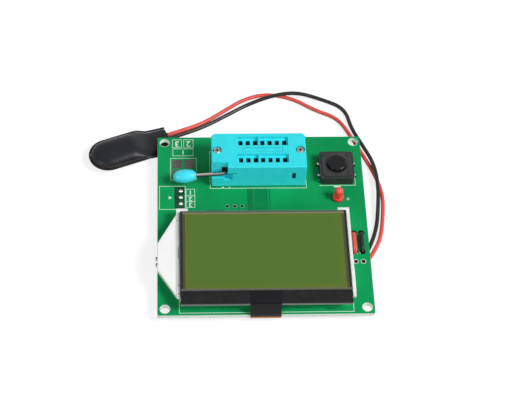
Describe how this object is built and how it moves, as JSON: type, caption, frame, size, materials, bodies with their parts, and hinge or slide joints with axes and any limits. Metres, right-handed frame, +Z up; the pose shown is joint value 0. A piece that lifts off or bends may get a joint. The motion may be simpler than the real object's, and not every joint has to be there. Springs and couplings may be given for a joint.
{
  "type": "component tester",
  "caption": "Bare circuit board tester with a lever test socket, a backlit display, a push switch, a red lamp and a battery clip with stitched leads.",
  "frame": {"origin": "under the circuit board's centre, on the table that the trimmed pin tails stand on", "axes": "+Z up out of the component side, +Y from the display to the socket edge, +X to the switch edge"},
  "size_m": [0.1038, 0.0997, 0.0154],
  "materials": {
    "board_mask": "green solder mask over glass fibre",
    "socket_moulding": "satin cyan moulding",
    "slider_moulding": "natural moulding",
    "tinned_metal": "tinned brass and copper",
    "steel": "bright steel",
    "solder": "bright solder",
    "glass": "clear display glass",
    "polariser": "olive-green film",
    "ledge_film": "black film",
    "silicon": "bare chip",
    "ribbon_film": "printed flexible film",
    "frame_moulding": "white moulding",
    "light_guide": "clear acrylic",
    "reflector": "white film",
    "lamp_body": "moulded lamp",
    "switch_moulding": "black moulding",
    "switch_metal": "dark stamped plate",
    "button_moulding": "black cap",
    "red_lens": "red diffused resin",
    "package_moulding": "black epoxy",
    "ceramic": "fired ceramic",
    "resistor_body": "glazed ceramic",
    "red_insulation": "red PVC",
    "black_insulation": "black PVC",
    "sleeve": "soft black grained PVC",
    "carrier": "hard fibre card",
    "nickel": "nickel plate"
  },
  "bodies": {
    "board": {"circuit_board": "board_mask", "zif_base": "socket_moulding", "zif_cover": "socket_moulding", "zif_contacts": "tinned_metal", "zif_screws": "steel", "zif_solder": "solder", "lcd_rear_glass": "glass", "lcd_front_glass": "glass", "lcd_front_polariser": "polariser", "lcd_rear_polariser": "polariser", "lcd_driver_chip": "silicon", "lcd_ledge_cover": "ledge_film", "lcd_ribbon": "ribbon_film", "backlight_frame": "frame_moulding", "light_guide": "light_guide", "backlight_reflector": "reflector", "backlight_led": "lamp_body", "backlight_leads": "tinned_metal", "switch_housing": "switch_moulding", "switch_plate": "switch_metal", "switch_dome": "steel", "switch_pins": "tinned_metal", "indicator_led": "red_lens", "indicator_leads": "tinned_metal", "microcontroller": "package_moulding", "crystal": "steel", "regulator": "package_moulding", "transistors": "package_moulding", "resistors": "resistor_body", "capacitors": "ceramic", "package_leads": "tinned_metal", "chip_ends": "tinned_metal", "joint_solder": "solder", "red_lead": "red_insulation", "black_lead": "black_insulation", "snap_cover": "sleeve", "snap_plate": "carrier", "snap_stud": "nickel", "snap_socket": "nickel"},
    "lever": {"zif_lever": "steel", "zif_knob": "socket_moulding"},
    "slider": {"zif_slider": "slider_moulding"},
    "button": {"switch_button": "button_moulding"}
  },
  "joints": [
    {"name": "lever_hinge", "type": "hinge", "parent": "board", "child": "lever", "pos_m": [-0.0125, 0.01665, 0.0106], "axis": [0, 1, 0], "range_deg": [0, 95]},
    {"name": "slider_slide", "type": "slide", "parent": "board", "child": "slider", "axis": [1, 0, 0], "range_m": [0, 0.00073728]},
    {"name": "button_press", "type": "slide", "parent": "board", "child": "button", "axis": [0, 0, -1], "range_m": [0, 0.00035], "stiffness_N_per_m": 2000}
  ],
  "couplings": [
    {"joint": "lever_hinge", "follows": "slider_slide", "rad_per_m": 2248.9}
  ]
}
